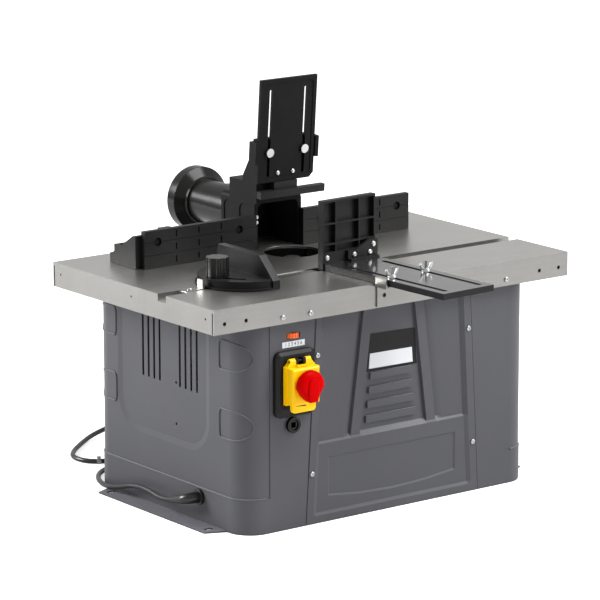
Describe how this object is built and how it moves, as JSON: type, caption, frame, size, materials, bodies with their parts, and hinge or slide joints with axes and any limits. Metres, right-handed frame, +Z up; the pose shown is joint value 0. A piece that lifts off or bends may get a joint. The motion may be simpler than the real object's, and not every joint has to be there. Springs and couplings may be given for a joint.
{
  "type": "benchtop spindle moulder",
  "caption": "Benchtop spindle moulder: steel table on a sheet cabinet with split fence, dust hood and port, overhead guard, side presser, mitre gauge, lifting motor and hooded switch.",
  "frame": {"origin": "on the floor at the middle of the four foot slots, under the centre of the table", "axes": "+X along the table to the right, +Y to the fence and dust port, +Z up"},
  "size_m": [0.61, 0.7385, 0.5676],
  "materials": {
    "grey_paint": "satin enamel on sheet steel",
    "table_steel": "ground and oiled",
    "zinc": "bright zinc plate",
    "bright_steel": "turned",
    "cast_alloy": "as cast",
    "motor_black": "moulded",
    "black_plastic": "fine moulded grain",
    "port_plastic": "polished",
    "yellow_plastic": "smooth",
    "red_plastic": "smooth",
    "green_plastic": "smooth",
    "orange_plastic": "smooth",
    "lead_black": "smooth sheath",
    "tie_grey": "smooth"
  },
  "bodies": {
    "stand": {"base_plate": "grey_paint", "left_shell": "grey_paint", "right_shell": "grey_paint", "front_panel": "grey_paint", "rear_panel": "grey_paint", "cabinet_screws": "zinc", "table_top": "table_steel", "table_rails": "zinc", "table_insert": "table_steel", "switch_box": "black_plastic", "dial_bracket": "motor_black", "height_bush": "motor_black", "screw_block": "cast_alloy", "guide_columns": "bright_steel", "presser_bracket": "zinc", "strain_relief": "lead_black", "cord_run": "lead_black", "cord_coil": "lead_black", "cord_tail": "lead_black", "cable_tie": "tie_grey", "plug": "port_plastic"},
    "lift": {"motor_carriage": "cast_alloy", "motor_housing": "motor_black", "spindle_bearings": "bright_steel"},
    "rotor": {"spindle": "bright_steel", "cooling_fan": "motor_black", "collet_nut": "bright_steel"},
    "lead_screw": {"lead_screw": "bright_steel", "bevel_gear": "bright_steel"},
    "crank": {"height_shaft": "bright_steel", "bevel_pinion": "bright_steel"},
    "fence": {"fence_hood": "black_plastic", "dust_port": "port_plastic", "fence_foot_left": "black_plastic", "fence_foot_right": "black_plastic", "guard_bracket": "black_plastic", "guard_clamp_screws": "zinc"},
    "board_left": {"fence_board_left": "black_plastic", "board_screws_left": "zinc"},
    "board_right": {"fence_board_right": "black_plastic", "board_screws_right": "zinc"},
    "knob_left": {"fence_knob_left": "black_plastic"},
    "knob_right": {"fence_knob_right": "black_plastic"},
    "guard": {"guard_plate": "black_plastic", "guard_shoe": "black_plastic", "guard_shoe_screws": "zinc"},
    "presser": {"presser_plate": "black_plastic", "presser_upright": "black_plastic", "presser_screws": "zinc"},
    "wing_left": {"wing_nut_left": "zinc"},
    "wing_right": {"wing_nut_right": "zinc"},
    "mitre": {"mitre_bar": "bright_steel", "mitre_pointer": "zinc"},
    "mitre_swivel": {"mitre_head": "black_plastic"},
    "mitre_clamp": {"mitre_knob": "black_plastic"},
    "cover": {"switch_cover": "yellow_plastic"},
    "mushroom": {"stop_mushroom": "red_plastic"},
    "start": {"start_button": "green_plastic"},
    "stop": {"stop_button": "red_plastic"},
    "dial": {"speed_dial": "orange_plastic"}
  },
  "joints": [
    {"name": "spindle_lift", "type": "slide", "parent": "stand", "child": "lift", "axis": [0, 0, 1], "range_m": [-0.03, 0.01]},
    {"name": "spindle_turn", "type": "hinge", "parent": "lift", "child": "rotor", "pos_m": [0, 0.046, 0.2], "axis": [0, 0, 1], "continuous": true},
    {"name": "lead_screw_turn", "type": "hinge", "parent": "stand", "child": "lead_screw", "pos_m": [-0.169, 0.046, 0.1], "axis": [0, 0, 1], "range_deg": [-1000, 2800]},
    {"name": "height_crank", "type": "hinge", "parent": "stand", "child": "crank", "pos_m": [-0.169, 0, 0.145], "axis": [0, 1, 0], "range_deg": [-2800, 1000]},
    {"name": "fence_depth", "type": "slide", "parent": "stand", "child": "fence", "axis": [0, 1, 0], "range_m": [-0.04, 0.006]},
    {"name": "left_board_slide", "type": "slide", "parent": "fence", "child": "board_left", "axis": [1, 0, 0], "range_m": [-0.01, 0.01]},
    {"name": "right_board_slide", "type": "slide", "parent": "fence", "child": "board_right", "axis": [1, 0, 0], "range_m": [-0.01, 0.01]},
    {"name": "left_fence_knob", "type": "hinge", "parent": "fence", "child": "knob_left", "pos_m": [-0.16, 0.119, 0.357], "axis": [0, 0, 1], "range_deg": [-90, 270]},
    {"name": "right_fence_knob", "type": "hinge", "parent": "fence", "child": "knob_right", "pos_m": [0.16, 0.119, 0.357], "axis": [0, 0, 1], "range_deg": [-90, 270]},
    {"name": "guard_height", "type": "slide", "parent": "fence", "child": "guard", "axis": [0, -0.0767, 0.9971], "range_m": [-0.044, 0.028]},
    {"name": "presser_reach", "type": "slide", "parent": "stand", "child": "presser", "axis": [-0.0471, 0.9989, 0], "range_m": [-0.075, 0.045]},
    {"name": "left_wing_nut", "type": "hinge", "parent": "stand", "child": "wing_left", "pos_m": [-0.02147, -0.20544, 0.335], "axis": [0, 0, 1], "range_deg": [-60, 300]},
    {"name": "right_wing_nut", "type": "hinge", "parent": "stand", "child": "wing_right", "pos_m": [0.03947, -0.20256, 0.335], "axis": [0, 0, 1], "range_deg": [-60, 300]},
    {"name": "mitre_travel", "type": "slide", "parent": "stand", "child": "mitre", "axis": [1, 0, 0], "range_m": [-0.05, 0.05]},
    {"name": "mitre_angle", "type": "hinge", "parent": "mitre", "child": "mitre_swivel", "pos_m": [-0.17, -0.072, 0.33], "axis": [0, 0, 1], "range_deg": [-50, 50]},
    {"name": "mitre_knob_turn", "type": "hinge", "parent": "mitre", "child": "mitre_clamp", "pos_m": [-0.214, -0.072, 0.35], "axis": [0, 0, 1], "range_deg": [-90, 270]},
    {"name": "switch_cover_hinge", "type": "hinge", "parent": "stand", "child": "cover", "pos_m": [-0.168, -0.193, 0.236], "axis": [-1, 0, 0], "range_deg": [0, 95]},
    {"name": "mushroom_press", "type": "slide", "parent": "cover", "child": "mushroom", "axis": [0, 1, 0], "range_m": [0, 0.0035], "stiffness_N_per_m": 900},
    {"name": "start_press", "type": "slide", "parent": "stand", "child": "start", "axis": [0, 1, 0], "range_m": [0, 0.003], "stiffness_N_per_m": 700},
    {"name": "stop_press", "type": "slide", "parent": "stand", "child": "stop", "axis": [0, 1, 0], "range_m": [0, 0.003], "stiffness_N_per_m": 700},
    {"name": "speed_turn", "type": "hinge", "parent": "stand", "child": "dial", "pos_m": [-0.167, -0.172, 0.267], "axis": [0, 0, 1], "range_deg": [-135, 135]}
  ],
  "couplings": [
    {"joint": "lead_screw_turn", "follows": "spindle_lift", "rad_per_m": -1570.8},
    {"joint": "height_crank", "follows": "spindle_lift", "rad_per_m": 1570.8}
  ]
}
